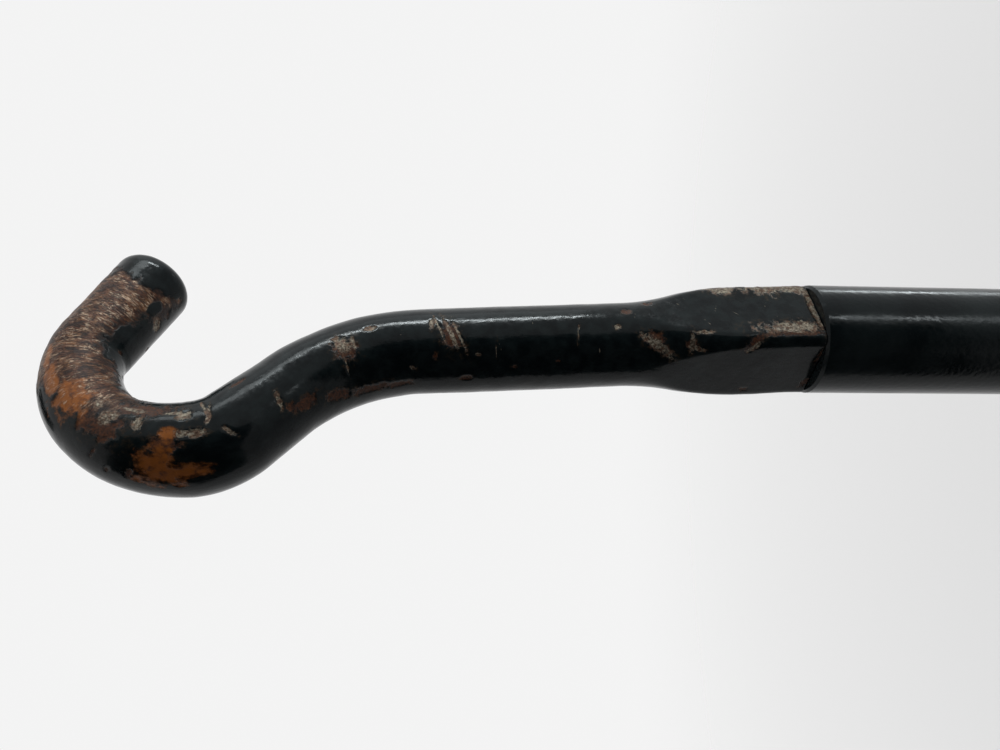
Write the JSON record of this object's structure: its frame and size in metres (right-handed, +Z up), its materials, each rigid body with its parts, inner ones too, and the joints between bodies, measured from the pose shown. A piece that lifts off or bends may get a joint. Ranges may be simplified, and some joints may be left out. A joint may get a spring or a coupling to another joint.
{
  "type": "cane bolt",
  "caption": "Drop bolt for a gate, with a crook handle, squared boss, round shank, two guides, a captive stop collar, a hold-up catch and a ground socket.",
  "frame": {"origin": "centre of the upper guide's mounting face, where it meets the gate", "axes": "+Z up along the bolt, +Y into the gate, +X towards the crook's tip"},
  "size_m": [0.104, 0.084, 0.7729],
  "materials": {
    "black_paint": "gloss, chipped",
    "worn_steel": "worn bare",
    "zinc_steel": "zinc plated",
    "spring_steel": "dark, oiled",
    "cast_iron_paint": "painted",
    "bronze": "turned",
    "galvanised": "hot-dip galvanised"
  },
  "bodies": {
    "gate_fixings": {"catch_plate": "black_paint", "catch_cradle": "black_paint", "catch_rivets": "zinc_steel", "socket_tube": "galvanised", "socket_flange": "galvanised", "socket_lugs": "galvanised", "upper_guide_base": "cast_iron_paint", "upper_guide_cap": "black_paint", "upper_guide_bush": "bronze", "upper_guide_screws": "zinc_steel", "upper_guide_washers": "spring_steel", "lower_guide_base": "cast_iron_paint", "lower_guide_cap": "black_paint", "lower_guide_bush": "bronze", "lower_guide_screws": "zinc_steel", "lower_guide_washers": "spring_steel"},
    "stop_collar_body": {"stop_collar": "worn_steel"},
    "bolt_body": {"hook_handle": "black_paint", "bolt_shank": "black_paint", "shank_nose": "worn_steel", "handle_spring_pin": "spring_steel", "nose_spring_pin": "spring_steel", "upper_stop_pin": "spring_steel", "lower_stop_pin": "spring_steel"}
  },
  "joints": [
    {"name": "bolt_lift", "type": "slide", "parent": "gate_fixings", "child": "stop_collar_body", "axis": [0, 0, 1], "range_m": [0, 0.10265]},
    {"name": "bolt_turn", "type": "hinge", "parent": "stop_collar_body", "child": "bolt_body", "pos_m": [0, -0.027, -0.13], "axis": [0, 0, 1], "range_deg": [-20, 200]}
  ]
}
